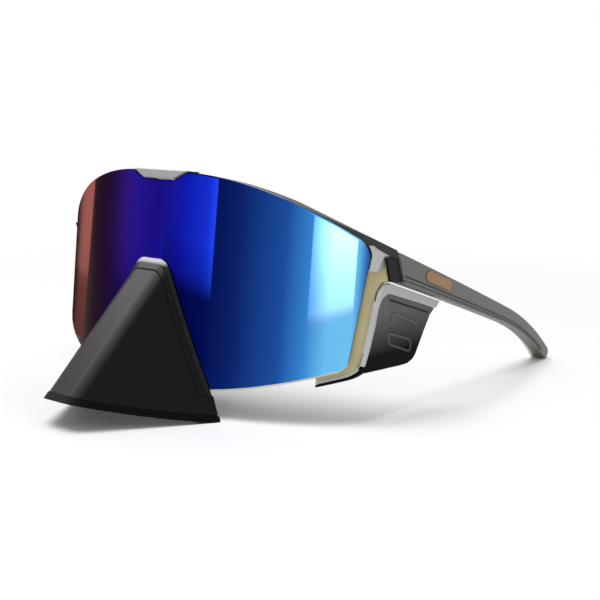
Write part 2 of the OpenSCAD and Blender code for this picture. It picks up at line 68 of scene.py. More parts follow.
# Lens, a piece of an upright cylinder: its radius, thickness, half width at the corners, and height
LENS_R = 107.0
LENS_T = 2.0
LENS_HALF = 69.5
LENS_H = 70.3
# Its top and bottom edges are arches with a short flat in the middle
BROW_FLAT, BROW_R = 11.0, 101.0
LOW_FLAT, LOW_R = 5.0, 148.0
# Its ends lean outwards from the corners' height, and meet the edges in rounds
END_LEAN = math.radians(5.65)
LENS_CORNER_Z = -18.7
TOP_CORNER_R, LOW_CORNER_R = 7.5, 5.0
# The nose cut is a small arch with straight sides, and the latch's notch a shallow trapezoid
NOSE_Z, NOSE_R, NOSE_HALF = -42.0, 6.0, math.radians(28.5)
NOTCH_DEPTH, NOTCH_FLOOR_HALF, NOTCH_TOP_HALF = 2.8, 6.9, 12.6
# Spacing of the points along its edges, and the width of the strips that its faces are bent in
EDGE_STEP = 1.2

# Temples: the pins' place and the middle line's height there, the outer face's X and the radius of its
# sweep seen from above, then the slope and length of the straight stretch, and the next bend's radius
PIN_Y, TEMPLE_Z = 33.1414, -24.2342
TEMPLE_X, TEMPLE_SWEEP = 74.0, 1000.0
TEMPLE_DROP, TEMPLE_RUN, TEMPLE_BEND = math.radians(12.95), 79.0, 175.0
# Half a temple's height is 2.2 mm at its tip and 2.3 mm more at its front, 4 mm before the pin. It grows
# along the span by the power of the taper.
TIP_HALF, TEMPLE_GROWTH = 2.2, 2.3
TEMPLE_LEAD, TEMPLE_SPAN, TEMPLE_TAPER = 4.0, 132.5, 1.25

# Side shield's plane, and how far out from it the flap's outer face lies
SHIELD_AT = Vector((71.1, 31.8443, -30.8342))
SHIELD_LEAN = math.radians(6)
FLAP_FACE = 0.8

# The photograph's camera in the wearer's axes, found by fitting the lens, temples and cover to it:
# degrees from straight ahead, below level and of roll, its place in mm, and its lens and frame in mm
CAMERA_TURN, CAMERA_DOWN, CAMERA_ROLL = 38.62, 5.31, 4.44
CAMERA_AT = (266.67, -255.06, -4.70)
CAMERA_LENS, CAMERA_FRAME = 67.08, 36.0

# Refractive indices of nylon and elastomer, and of polycarbonate
POLYMER_IOR, POLYCARBONATE_IOR = 1.5, 1.58
# A moulding's patches of uneven colour, in mm, how far its roughness swings with the grain, and how
# strongly the grain shows
CLOUD_MM = 9.0
SHEEN_SWING = 0.08
GRAIN_BUMP = 0.55


def srgb(code):
    """sRGB hex to linear RGBA."""
    parts = [int(code[i:i + 2], 16) / 255 for i in (0, 2, 4)]
    return tuple(c / 12.92 if c <= 0.04045 else ((c + 0.055) / 1.055) ** 2.4 for c in parts) + (1.0,)


def add(tree, kind, settings=None, stops=(), **links):
    """Adds a node. Settings go to its properties or its sockets, stops are a ramp's places and colours,
    and links come from other sockets: i0 is the first input."""
    made = tree.nodes.new(kind)
    for name, value in (settings or {}).items():
        if hasattr(made, name):
            setattr(made, name, value)
        else:
            made.inputs[int(name) if name.isdigit() else name].default_value = value
    for i, (at, colour) in enumerate(stops):
        mark = made.color_ramp.elements[i] if i < 2 else made.color_ramp.elements.new(at)
        mark.position, mark.color = at, colour
    for name, source in links.items():
        name = name.replace("_", " ")
        name = int(name[1:]) if name[0] == "i" and name[1:].isdigit() else name
        tree.links.new(source, made.inputs[name])
    return made


def new_material(name):
    """An empty node material and its tree."""
    made = bpy.data.materials.new(name)
    made.use_nodes = True
    tree = made.node_tree
    tree.nodes.clear()
    return made, tree


def moulded(name, colour, rough, specular, grain_mm=0.35, grain_depth_mm=0.012, shade=0.06, dust=None):
    """Injection-moulded plastic or rubber: a fine spark-eroded grain that breaks up the gloss, and a
    faint unevenness of colour and sheen over a few millimetres, as a real moulding shows. The real
    grain is about 0.1 mm, too fine for the render, so it is drawn about a pixel wide. dust
    is the two heights in mm between which the colour is scaled from one factor to another, and the
    factor at each: painted light and shade by height."""
    made, tree = new_material(name)
    place = add(tree, "ShaderNodeTexCoord").outputs["Object"]
    grain = add(tree, "ShaderNodeTexNoise", {"Scale": 1 / (grain_mm * MM), "Detail": 2.0, "Roughness": 0.6},
                Vector=place)
    cloud = add(tree, "ShaderNodeTexNoise", {"Scale": 1 / (CLOUD_MM * MM), "Detail": 3.0, "Roughness": 0.55},
                Vector=place)
    tone = add(tree, "ShaderNodeMapRange", {"To Min": 1 - shade, "To Max": 1 + shade},
               Value=cloud.outputs["Fac"])
    base = add(tree, "ShaderNodeMix",
               {"data_type": "RGBA", "blend_type": "MULTIPLY", "0": 1.0, "6": srgb(colour)},
               i7=tone.outputs[0])
    if dust:
        low, high, least, most = dust
        up = add(tree, "ShaderNodeSeparateXYZ", Vector=place)
        painted_light_ramp = add(tree, "ShaderNodeMapRange",
                     {"From Min": low * MM, "From Max": high * MM, "To Min": least, "To Max": most},
                     Value=up.outputs["Z"])
        base = add(tree, "ShaderNodeMix", {"data_type": "RGBA", "blend_type": "MULTIPLY", "0": 1.0},
                   i6=base.outputs[2], i7=painted_light_ramp.outputs[0])
    sheen = add(tree, "ShaderNodeMapRange", {"To Min": rough - SHEEN_SWING, "To Max": rough + SHEEN_SWING},
                Value=grain.outputs["Fac"])
    bump = add(tree, "ShaderNodeBump", {"Strength": GRAIN_BUMP, "Distance": grain_depth_mm * MM},
               Height=grain.outputs["Fac"])
    shader = add(tree, "ShaderNodeBsdfPrincipled", {"Specular IOR Level": specular, "IOR": POLYMER_IOR},
                 Base_Color=base.outputs[2], Roughness=sheen.outputs[0], Normal=bump.outputs[0])
    add(tree, "ShaderNodeOutputMaterial", Surface=shader.outputs[0])
    return made


def mirror_coating():
    """Multilayer mirror coating on polycarbonate, smooth as glass. The eye sees a hard mirror that runs
    from brown and violet through deep blue to a pale sky blue, and dims a little at a glancing angle. On
    the real lens thin layers and the room make those colours. Here the tint is painted along the lens:
    part the coating's own colour, part a painted reflection of the room."""
    made, tree = new_material("mirror_coated_polycarbonate")
    place = add(tree, "ShaderNodeTexCoord").outputs["Object"]
    along = add(tree, "ShaderNodeSeparateXYZ", Vector=place)
    spot = add(tree, "ShaderNodeMapRange", {"From Min": -LENS_HALF * MM, "From Max": LENS_HALF * MM},
               Value=along.outputs["X"])
    # By X in mm, coating colour with painted reflection: brown-black, violet, deep blue, then the pale blue
    # end and its darker rim
    tints_and_painted_reflection = [(-69, "1a0c0a"), (-36, "18030f"), (-23, "1a0c38"), (-7, "0f0853"), (11, "020447"),
             (22, "030c4e"), (33, "0d2267"), (47, "1c4c9c"), (54, "3681cc"), (60, "69beef"), (66, "6cc0f0"),
             (68.3, "2462ad")]
    ramp = add(tree, "ShaderNodeValToRGB", Fac=spot.outputs[0],
               stops=[((x + LENS_HALF) / (2 * LENS_HALF), srgb(code)) for x, code in tints_and_painted_reflection])
    shader = add(tree, "ShaderNodeBsdfPrincipled",
                 {"Metallic": 1.0, "Roughness": 0.03, "Specular Tint": srgb("c6c0c0")},
                 Base_Color=ramp.outputs["Color"])
    add(tree, "ShaderNodeOutputMaterial", Surface=shader.outputs[0])
    return made


def clouded_polycarbonate(name, haze_mm, darker, lighter, rough):
    """Bare polycarbonate between two near shades, with a clear gloss on top."""
    made, tree = new_material(name)
    place = add(tree, "ShaderNodeTexCoord").outputs["Object"]
    haze = add(tree, "ShaderNodeTexNoise", {"Scale": 1 / (haze_mm * MM), "Detail": 2.0}, Vector=place)
    ramp = add(tree, "ShaderNodeValToRGB", Fac=haze.outputs["Fac"],
               stops=[(0.0, srgb(darker)), (1.0, srgb(lighter))])
    shader = add(tree, "ShaderNodeBsdfPrincipled",
                 {"Roughness": rough, "Specular IOR Level": 0.5, "IOR": POLYCARBONATE_IOR},
                 Base_Color=ramp.outputs["Color"])
    add(tree, "ShaderNodeOutputMaterial", Surface=shader.outputs[0])
    return made


def worked_metal(name, mark_mm, squeeze, darker, lighter, least_rough, most_rough, metallic):
    """Metal with the fine marks of its tool, which vary both tone and gloss. mark_mm is their width and
    squeeze stretches them along Y. Real marks are a few hundredths of a millimetre, too fine for the
    render, so they are drawn wide enough to stir the highlight."""
    made, tree = new_material(name)
    place = add(tree, "ShaderNodeTexCoord").outputs["Object"]
    stretch = add(tree, "ShaderNodeMapping", {"Scale": (1.0, squeeze, 1.0)}, Vector=place)
    marks = add(tree, "ShaderNodeTexNoise", {"Scale": 1 / (mark_mm * MM), "Detail": 2.0},
                Vector=stretch.outputs[0])
    tone = add(tree, "ShaderNodeValToRGB", Fac=marks.outputs["Fac"],
               stops=[(0.0, srgb(darker)), (1.0, srgb(lighter))])
    rough = add(tree, "ShaderNodeMapRange", {"To Min": least_rough, "To Max": most_rough},
                Value=marks.outputs["Fac"])
    shader = add(tree, "ShaderNodeBsdfPrincipled", {"Metallic": metallic},
                 Base_Color=tone.outputs["Color"], Roughness=rough.outputs[0])
    add(tree, "ShaderNodeOutputMaterial", Surface=shader.outputs[0])
    return made


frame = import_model()

# The coarser, deeper skin that every elastomer here has
RUBBER_SKIN = {"grain_mm": 0.5, "grain_depth_mm": 0.02}
FINISH = {
    "mirror_lens": mirror_coating(),
    # Glass-filled nylon, spark-eroded: soft sheen, almost no sparkle
    "grey_plastic": moulded("army_grey_nylon", "656863", 0.46, 0.35),
    "light_plastic": moulded("light_grey_nylon", "b0b2b0", 0.42, 0.4),
    "dark_plastic": moulded("charcoal_nylon", "0c0c0c", 0.42, 0.15),
    "tan_plastic": moulded("sand_nylon", "bfb489", 0.46, 0.3, shade=0.1),
    "cover_plastic": moulded("black_cover_polymer", "060606", 0.36, 0.12, grain_mm=0.4),
    "black_plastic": moulded("black_nylon", "080808", 0.42, 0.18),
    # Moulded elastomer: dull, with a slightly coarser skin
    "black_rubber": moulded("black_elastomer", "0b0b0b", 0.45, 0.16, **RUBBER_SKIN),
    "cream_rubber": moulded("cream_elastomer", "e6e8d6", 0.6, 0.25, **RUBBER_SKIN),
    # Copper-coloured lacquer over a die-cast plate brushed along its length: warm and satin
    "copper_trim": worked_metal("copper_lacquer", 0.18, 0.05, "7d6248", "a8835f", 0.28, 0.42, 0.8),
    # Stainless steel, turned: bright, its gloss a little broken by the tool's marks
    "steel": worked_metal("turned_steel", 0.15, 1.0, "a4a6a8", "c6c8ca", 0.22, 0.34, 1.0),
}
# The flap: no gloss at all, black at its foot and greyer towards the flange: painted shade at the foot and
# painted light towards the flange
FLAP_RUBBER = moulded("dusted_black_elastomer", "333333", 0.45, 0.03, dust=(22, 35.5, 0.05, 4.0),
                      **RUBBER_SKIN)
# Its grip marks: lighter than the flap and paler towards the top, a painted highlight that makes them stand
# out from the flap
GRIP_RUBBER = moulded("worn_black_elastomer", "3c3c3c", 0.4, 0.2, dust=(18, 36, 0.5, 3.0), **RUBBER_SKIN)
# The fold under its flange: a thin darker line of painted shade
FOLD_RUBBER = moulded("shaded_black_elastomer", "1a1a1a", 0.5, 0.05, **RUBBER_SKIN)
# The band round the cover's lower edge: flat black beside the shell's sheen
BAND_RUBBER = moulded("matt_black_elastomer", "0a0a0a", 0.5, 0.04, **RUBBER_SKIN)
# The lip against the lens: black, with a painted highlight as a pale line along the ridge at its top
LIP_RUBBER = moulded("satin_black_elastomer", "b4b4b6", 0.4, 0.1, grain_mm=0.5, grain_depth_mm=0.01,
                     dust=(47.3, 48.5, 0.02, 1.0))
# The temples' creases: the frame's grey, darkened as painted shade where the surface turns under
CREASE_NYLON = moulded("creased_grey_nylon", "333533", 0.5, 0.2)
# The latch: the same light grey nylon as the clips at the lens's corners, a little darker as painted shade
LATCH_NYLON = moulded("latch_grey_nylon", "8d8f8d", 0.42, 0.35)
# The bar behind the lens's top edge: the frame's grey, darkened by painted shade where the lens shades it
BAR_NYLON = moulded("shaded_grey_nylon", "343634", 0.46, 0.22)
OWN_FINISH = {"brow_frame": BAR_NYLON, "brow_clip": LATCH_NYLON,
              "shield_flap_left": FLAP_RUBBER, "shield_flap_right": FLAP_RUBBER,
              "nose_cover_gasket": LIP_RUBBER, "nose_cover_rim": BAND_RUBBER}
# The lens's inner side, smoke brown and polished: nearly black
SMOKE = clouded_polycarbonate("smoke_polycarbonate", 40, "0d0a0c", "17110f", 0.09)
# Its lower edge: polished polycarbonate, milky and bright with a painted reflection of the white room and
# table
BRIGHT_EDGE = clouded_polycarbonate("polished_lens_edge", 6, "b9b4a6", "e2ddd0", 0.2)
SLOT = {row["node"]: row["material_slot"] for row in frame["record"]["subparts"]}


def smooth_by_angle(mesh, degrees=32):
    """Smooth shading, with a hard line kept wherever two faces turn by more than this."""
    work = bmesh.new()
    work.from_mesh(mesh)
    limit = math.radians(degrees)
    for face in work.faces:
        face.smooth = True
    for edge in work.edges:
        edge.smooth = len(edge.link_faces) == 2 and edge.calc_face_angle(0) < limit
    work.to_mesh(mesh)
    work.free()


def put(name, mesh, node, finish=None):
    """Puts a finished mesh, in the row frame, in the place of a CAD node."""
    made = bpy.data.objects.new(name, mesh)
    bpy.context.scene.collection.objects.link(made)
    mesh.materials.append(finish or FINISH[SLOT[node]])
    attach(made, frame["nodes"][node]["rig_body"])
    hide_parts(node)
    return made


def apply_modifier(made, kind, settings):
    """Applies one modifier to an object and leaves a plain mesh."""
    modifier = made.modifiers.new(kind.lower(), kind)
    for key, value in settings.items():
        setattr(modifier, key, value)
    bpy.context.view_layer.update()
    ready = bpy.data.meshes.new_from_object(made.evaluated_get(bpy.context.evaluated_depsgraph_get()))
    made.modifiers.clear()
    ready.name = made.name
    old = made.data
    made.data = ready
    bpy.data.meshes.remove(old)


def eased_copy(node, name, width_mm):
    """The CAD shape with its edges eased as a moulding's are. First, corners closer than weld metres
    become one, and so do faces that turn by less than flat degrees."""
    weld, flat, sharp = 2e-6, 0.35, 35
    mesh = bpy.data.meshes.new(name)
    work = bmesh.new()
    work.from_mesh(frame["nodes"][node].data)
    bmesh.ops.remove_doubles(work, verts=work.verts, dist=weld)
    bmesh.ops.dissolve_limit(work, angle_limit=math.radians(flat), verts=work.verts, edges=work.edges)
    work.to_mesh(mesh)
    work.free()
    made = put(name, mesh, node, OWN_FINISH.get(node))
    apply_modifier(made, "BEVEL", {"width": width_mm * MM, "segments": 3, "limit_method": "ANGLE",
                                   "angle_limit": math.radians(sharp), "miter_outer": "MITER_ARC",
                                   "harden_normals": False, "use_clamp_overlap": True})
    smooth_by_angle(made.data)
    apply_modifier(made, "WEIGHTED_NORMAL", {"mode": "FACE_AREA", "weight": 50, "keep_sharp": True})


def end_x(z):
    """Where the lens's end edge stands at a height."""
    return LENS_HALF + (z - LENS_CORNER_Z) * math.tan(END_LEAN)


def top_z(x, by=0.0):
    """Height of the lens's top edge, or of a line that far inside it."""
    a, r = abs(x), BROW_R - by
    return -by if a <= BROW_FLAT else -BROW_R + math.sqrt(max(r * r - (a - BROW_FLAT) ** 2, 0))


def low_z(x, by=0.0):
    """Height of the lens's bottom edge, or of a line that far inside it."""
    a, r = abs(x), LOW_R - by
    return (LOW_R - LENS_H) - math.sqrt(r * r - max(a - LOW_FLAT, 0) ** 2)


def corner_centre(edge, r):
    """Middle of the round of radius r that joins an end edge to the top or bottom edge."""
    # Halving the span between 40 and 80 mm from the middle sixty times leaves no error
    low, high = 40.0, 80.0
    for _ in range(60):
        x = (low + high) / 2
        z = edge(x, r)
        if x < end_x(z) - r / math.cos(END_LEAN):
            low = x
        else:
            high = x
    return x, z


def arc(x, z, r, start, end, steps):
    """Points along an arc round x, z."""
    turns = (start + (end - start) * i / steps for i in range(steps + 1))
    return [(x + r * math.cos(turn), z + r * math.sin(turn)) for turn in turns]


def lens_outline():
    """Right half of the lens seen from the front, from the top middle round to the nose cut."""
    tx, tz = corner_centre(top_z, TOP_CORNER_R)
    bx, bz = corner_centre(low_z, LOW_CORNER_R)
    top_turn = math.atan2(tz + BROW_R, tx - BROW_FLAT)
    low_turn = math.atan2(bz - (LOW_R - LENS_H), bx - LOW_FLAT)
    across = [0, 4, 8] + [BROW_FLAT + EDGE_STEP * i for i in range(60)]
    # The arch's points stop just past the round's middle, and the round goes on from there
    points = [(x, top_z(x)) for x in across if x < tx * 1.02]
    points += arc(tx, tz, TOP_CORNER_R, top_turn, -END_LEAN, 14)
    points += arc(bx, bz, LOW_CORNER_R, -END_LEAN, low_turn, 14)
    # The nose cut's straight side runs down from its arch's foot. Walking inwards finds where it ends, and
    # the bottom edge's points keep a gap from there.
    foot, walk, gap = NOSE_R * math.cos(NOSE_HALF), 0.02, 0.4
    cut = foot + 60
    while NOSE_Z + NOSE_R * math.sin(NOSE_HALF) - (cut - foot) / math.tan(NOSE_HALF) < low_z(cut):
        cut -= walk
    x = bx + LOW_CORNER_R * math.cos(low_turn) - EDGE_STEP
    while x > cut + gap:
        points.append((x, low_z(x)))
        x -= EDGE_STEP
    points.append((cut, low_z(cut)))
    return points + arc(0, NOSE_Z, NOSE_R, NOSE_HALF, math.pi / 2, 10)


def to_cylinder(point):
    """A flat plate's point, with its depth counted back from the lens's face, bent round the lens's axis."""
    turn, r = math.asin(point.x / LENS_R), LENS_R - point.y
    return Vector((r * math.sin(turn), LENS_R - r * math.cos(turn), point.z))


def inset(outline, by):
    """A closed outline moved inwards by a small distance."""
    made = []
    for i, (x, z) in enumerate(outline):
        here = Vector((x, z))
        before, after = Vector(outline[i - 1]), Vector(outline[(i + 1) % len(outline)])
        a, b = (here - before).normalized(), (after - here).normalized()
        normal = Vector((a.y + b.y, -a.x - b.x)).normalized()
        made.append(here - normal * by / max(normal.dot(Vector((a.y, -a.x))), 0.5))
    return made


# What a face of the lens belongs to, as its material index while the lens is made
FRONT, BEVEL, BEHIND = 0, 1, 2


def curved_plate(name, outline, rings):
    """An outline, counter-clockwise from the front, given thickness and bent round the lens's axis. rings
    lists depth and inset from the front face's edge to the back face's edge, and the first two steps
    between them are the front's bevel."""
    work = bmesh.new()
    loops = [[work.verts.new((p.x, depth, p.y)) for p in inset(outline, by)] for depth, by in rings]
    work.faces.new(loops[0]).material_index = FRONT
    for k, (near, far) in enumerate(zip(loops, loops[1:])):
        for i in range(len(near)):
            j = (i + 1) % len(near)
            side = work.faces.new((near[i], near[j], far[j], far[i]))
            side.material_index = BEVEL if k < 2 else BEHIND
    work.faces.new(loops[-1]).material_index = BEHIND
    bmesh.ops.recalc_face_normals(work, faces=work.faces)
    low = min(v.co.x for v in work.verts)
    high = max(v.co.x for v in work.verts)
    cuts = int((high - low) / EDGE_STEP)
    for i in range(1, cuts):
        geom = work.verts[:] + work.edges[:] + work.faces[:]
        bmesh.ops.bisect_plane(work, geom=geom, dist=1e-4, plane_co=(low + (high - low) * i / cuts, 0, 0),
                               plane_no=(1, 0, 0))
    for v in work.verts:
        v.co = REST @ to_cylinder(v.co)
    mesh = bpy.data.meshes.new(name)
    work.to_mesh(mesh)
    work.free()
    return mesh


def lens():
    """The shield: mirror-coated in front, smoke brown behind, with the latch's notch in its top edge."""
    notch = [(0, -NOTCH_DEPTH), (NOTCH_FLOOR_HALF, -NOTCH_DEPTH), (NOTCH_TOP_HALF, top_z(NOTCH_TOP_HALF))]
    # The outline goes on from the notch's corner. Below 30 mm lie the bottom edge and the nose cut.
    right = notch + [p for p in lens_outline() if p[0] > NOTCH_TOP_HALF + 0.2 or p[1] < -30]
    outline = [(-x, z) for x, z in right if abs(x) > 1e-6] + right[::-1]
    # The front's bevel is 0.55 mm wide and half a millimetre deep, in two steps. The back's is 0.3 mm.
    rings = [(0.0, 0.55), (0.14, 0.18), (0.5, 0.0), (LENS_T - 0.3, 0.0), (LENS_T, 0.3)]
    mesh = curved_plate("lens_shield", outline, rings)
    smooth_by_angle(mesh, 25)
    made = put("lens_shield", mesh, "lens")
    mesh.materials.append(SMOKE)
    mesh.materials.append(BRIGHT_EDGE)
    axis = REST @ Vector((0, LENS_R, 0))
    up = (TURN @ Vector((0, 0, 1, 0))).to_3d()

    def outwards(point):
        """From the lens's upright axis straight out to a point."""
        out = point - axis
        return out - up * out.dot(up)

    # From here on the material index is the material: the bevel's downward faces along the bottom, outside
    # the nose cut, take the painted reflection, and the bevel carries the coating everywhere else
    mirror, smoke, painted_edge = 0, 1, 2
    for face in mesh.polygons:
        facing_down = face.normal.dot(up) < -0.3 and abs(face.center.x) > 22 * MM
        if face.material_index == BEVEL and facing_down:
            face.material_index = painted_edge
        else:
            face.material_index = smoke if face.material_index == BEHIND else mirror
    # The faces' curve is known, so its normals are written instead of averaged from the facets. A corner
    # within a hundredth of a millimetre of a face belongs to it.
    ways = []
    for corner, normal in zip(mesh.loops, mesh.corner_normals):
        out = outwards(mesh.vertices[corner.vertex_index].co)
        if out.length > (LENS_R - 0.01) * MM:
            ways.append(out.normalized())
        elif out.length < (LENS_R - LENS_T + 0.01) * MM:
            ways.append(-out.normalized())
        else:
            ways.append(normal.vector.copy())
    mesh.normals_split_custom_set(ways)
    return made


shield = lens()

# How far in mm the edges of each piece are eased
EASE = {"brow_frame": 0.5, "brow_clip": 0.4, "nose_bridge": 0.4, "nose_cover": 0.3, "nose_cover_rim": 0.7,
        "nose_cover_frame": 0.6, "nose_cover_gasket": 0.45, "nose_cover_clip": 0.3, "lens_clip": 0.3,
        "side_rim": 0.4, "hinge_block": 0.35, "hinge_screw": 0.12, "temple": 0.9, "temple_tip": 0.8,
        "temple_badge": 0.3, "shield_frame": 0.4, "shield_flap": 0.5, "nose_pad_arm": 0.25, "nose_pad": 0.8}
for node in frame["nodes"]:
    if node != "lens":
        plain = node.replace("_left", "").replace("_right", "")
        eased_copy(node, node + "_finished", EASE[plain])


def shield_point(u, v, out, side):
    """A place on a side shield: u to the back, v up, out from its plane, in the row frame."""
    lean = SHIELD_LEAN
    x = SHIELD_AT.x + out * math.cos(lean) + v * math.sin(lean)
    return REST @ Vector((side * x, SHIELD_AT.y + u, SHIELD_AT.z - out * math.sin(lean) + v * math.cos(lean)))


def rounded(points, r, closed, steps=5):
    """A path with its corners cut by short curves of about radius r."""
    made = []
    for i, (x, y) in enumerate(points):
        if not closed and i in (0, len(points) - 1):
            made.append((x, y))
            continue
        here = Vector((x, y))
        ways = [Vector(p) - here for p in (points[i - 1], points[(i + 1) % len(points)])]
        ends = [here + way.normalized() * min(r, way.length / 2) for way in ways]
        for k in range(steps + 1):
            t = k / steps
            made.append(tuple(ends[0] * (1 - t) ** 2 + here * 2 * t * (1 - t) + ends[1] * t * t))
    return made


def strip_faces(count, rows, closed=False):
    """Faces between count profiles of rows points each, one after the other."""
    faces = []
    for i in range(count if closed else count - 1):
        here, there = i * rows, (i + 1) % count * rows
        faces += [(here + k, here + k + 1, there + k + 1, there + k) for k in range(rows - 1)]
    return faces


def raised_line(name, path, closed, width, height, node, side, finish):
    """A low rounded ridge along a path on the flap's outer face."""
    # Across and up, as shares of the ridge's width and height
    profile = [(-0.5, -0.3), (-0.42, 0.55), (-0.2, 0.95), (0.2, 0.95), (0.42, 0.55), (0.5, -0.3)]
    verts, n, rows = [], len(path), len(profile)
    for i, (u, v) in enumerate(path):
        a = Vector(path[i - 1] if closed or i else path[i])
        b = Vector(path[(i + 1) % n] if closed or i < n - 1 else path[i])
        along = (b - a).normalized()
        across = Vector((-along.y, along.x))
        for w, h in profile:
            at = Vector((u, v)) + across * w * width
            verts.append(shield_point(at.x, at.y, FLAP_FACE + h * height, side))
    faces = strip_faces(n, rows, closed)
    if not closed:
        faces += [tuple(range(rows)), tuple((n - 1) * rows + k for k in range(rows))]
    mesh = bpy.data.meshes.new(name)
    mesh.from_pydata(verts, [], faces)
    work = bmesh.new()
    work.from_mesh(mesh)
    bmesh.ops.recalc_face_normals(work, faces=work.faces)
    work.to_mesh(mesh)
    work.free()
    smooth_by_angle(mesh, 60)
    put(name, mesh, node, finish)


# The flap's moulded lines, by u to the back and v up: an open grip bracket, the fold under the flange, and
# a closed rounded grip frame below. Each has its path, whether it is closed, width and height in mm, finish.
FLAP_LINES = {
    "flap_bracket_": (rounded([(5.6, -11.4), (5.0, -8.1), (19.2, -12.0), (19.6, -13.2)], 1.4, False),
                      False, 0.8, 0.6, GRIP_RUBBER),
    "flap_fold_": ([(2.0, -3.9), (14, -6.3), (25.4, -8.6)], False, 0.5, 0.35, FOLD_RUBBER),
    "flap_frame_": (rounded([(4.2, -14.6), (17.7, -17.5), (18.6, -21.5), (5.3, -18.2)], 1.6, True),
                    True, 0.8, 0.6, GRIP_RUBBER),
}
for side_name, sign in SIDES.items():
    for line, (path, closed, width, height, rubber) in FLAP_LINES.items():
        raised_line(line + side_name, path, closed, width, height, "shield_flap_" + side_name, sign, rubber)


def temple_line(u):
    """Middle line of a temple seen from the side, at u mm behind its pin: y, z and slope."""
    drop, bend = TEMPLE_DROP, TEMPLE_BEND
    at = min(u, TEMPLE_RUN)
    y, z = PIN_Y + at * math.cos(drop), TEMPLE_Z - at * math.sin(drop)
    slope = drop + max(u - TEMPLE_RUN, 0) / bend
    return y + bend * (math.sin(slope) - math.sin(drop)), z - bend * (math.cos(drop) - math.cos(slope)), slope


# Where along a temple its creases start, in mm behind the pin, and their stations' spacing and number
CREASE_FROM, CREASE_STEP, CREASE_COUNT = 5, 2.5, 48
# How far below the middle line each crease runs, as a share of half the temple's height, and its width in mm
CREASES = {"temple_crease_low_": (0.42, 0.75), "temple_crease_edge_": (0.72, 0.5)}


def temple_crease(name, share, width, node, side):
    """A raised crease along a temple's outer face."""
    # Across as a share of the crease's width, and out from the face in mm
    profile = [(-0.5, -0.2), (-0.3, 0.1), (0.0, 0.16), (0.3, 0.1), (0.5, -0.2)]
    verts = []
    for i in range(CREASE_COUNT):
        u = CREASE_FROM + CREASE_STEP * i
        y, z, slope = temple_line(u)
        half = TIP_HALF + TEMPLE_GROWTH * (1 - (u + TEMPLE_LEAD) / TEMPLE_SPAN) ** TEMPLE_TAPER
        for w, h in profile:
            down = share * half - w * width
            py, pz = y - down * math.sin(slope), z - down * math.cos(slope)
            x = TEMPLE_X - TEMPLE_SWEEP + math.sqrt((TEMPLE_SWEEP + h) ** 2 - (py - PIN_Y) ** 2)
            verts.append(REST @ Vector((side * x, py, pz)))
    faces = strip_faces(CREASE_COUNT, len(profile))
    mesh = bpy.data.meshes.new(name)
    mesh.from_pydata(verts, [], faces if side > 0 else [face[::-1] for face in faces])
    smooth_by_angle(mesh, 60)
    put(name, mesh, node, CREASE_NYLON)


for side_name, sign in SIDES.items():
    for line, (share, width) in CREASES.items():
        temple_crease(line + side_name, share, width, "temple_" + side_name, sign)


def studio():
    """A white table that fades into a white room. The table's own shades show near the glasses only."""
    half, fade_from, fade_to, room_level = 30.0, 0.16, 0.42, 0.54
    floor_mesh = bpy.data.meshes.new("table")
    floor_mesh.from_pydata([(-half, -half, 0), (half, -half, 0), (half, half, 0), (-half, half, 0)], [],
                           [(0, 1, 2, 3)])
    floor = bpy.data.objects.new("table", floor_mesh)
    bpy.context.scene.collection.objects.link(floor)
    made, tree = new_material("white_table")
    place = add(tree, "ShaderNodeTexCoord").outputs["Object"]
    away = add(tree, "ShaderNodeVectorMath", {"operation": "LENGTH"}, i0=place)
    far = add(tree, "ShaderNodeMapRange",
              {"interpolation_type": "SMOOTHSTEP", "From Min": fade_from, "From Max": fade_to},
              Value=away.outputs["Value"])
    paper = add(tree, "ShaderNodeBsdfDiffuse", {"Color": srgb("fafafa")})
    sweep = add(tree, "ShaderNodeEmission", {"Color": (1, 1, 1, 1)})
    both = add(tree, "ShaderNodeMixShader", Fac=far.outputs[0], i1=paper.outputs[0], i2=sweep.outputs[0])
    add(tree, "ShaderNodeOutputMaterial", Surface=both.outputs[0])
    floor_mesh.materials.append(made)

    # The room is full white to the eye and in reflections, and lights the glasses at a lower level
    world = bpy.data.worlds.new("white_room")
    bpy.context.scene.world = world
    world.use_nodes = True
    tree = world.node_tree
    tree.nodes.clear()
    path = add(tree, "ShaderNodeLightPath")
    shown = add(tree, "ShaderNodeMath", {"operation": "MAXIMUM"}, i0=path.outputs["Is Camera Ray"],
                i1=path.outputs["Is Glossy Ray"])
    shown = add(tree, "ShaderNodeMath", {"operation": "MAXIMUM"}, i0=shown.outputs[0],
                i1=path.outputs["Is Transmission Ray"])
    strength = add(tree, "ShaderNodeMapRange", {"To Min": room_level, "To Max": 1.0}, Value=shown.outputs[0])
    light = add(tree, "ShaderNodeBackground", {"Color": (1, 1, 1, 1)}, Strength=strength.outputs[0])
    add(tree, "ShaderNodeOutputWorld", Surface=light.outputs[0])


def softbox(name, at, target, width, height, radiance, glossy_only=False):
    """A rectangular lamp of the given radiance, facing its target."""
    data = bpy.data.lights.new(name, "AREA")
    data.shape = "RECTANGLE"
    data.size, data.size_y = width, height
    data.energy = radiance * width * height * math.pi
    lamp = bpy.data.objects.new(name, data)
    bpy.context.scene.collection.objects.link(lamp)
    aim = (Vector(target) - Vector(at)).to_track_quat("-Z", "Y").to_matrix().to_4x4()
    lamp.matrix_world = Matrix.Translation(at) @ aim
    lamp.visible_diffuse = not glossy_only


def far_point(seen_from, azimuth, elevation, distance):
    """A point seen from a place on the lens: azimuth from straight ahead towards the wearer's left."""
    a, e = math.radians(azimuth), math.radians(elevation)
    way = Vector((math.sin(a) * math.cos(e), -math.cos(a) * math.cos(e), math.sin(e)))
    return Vector(seen_from) + distance * way


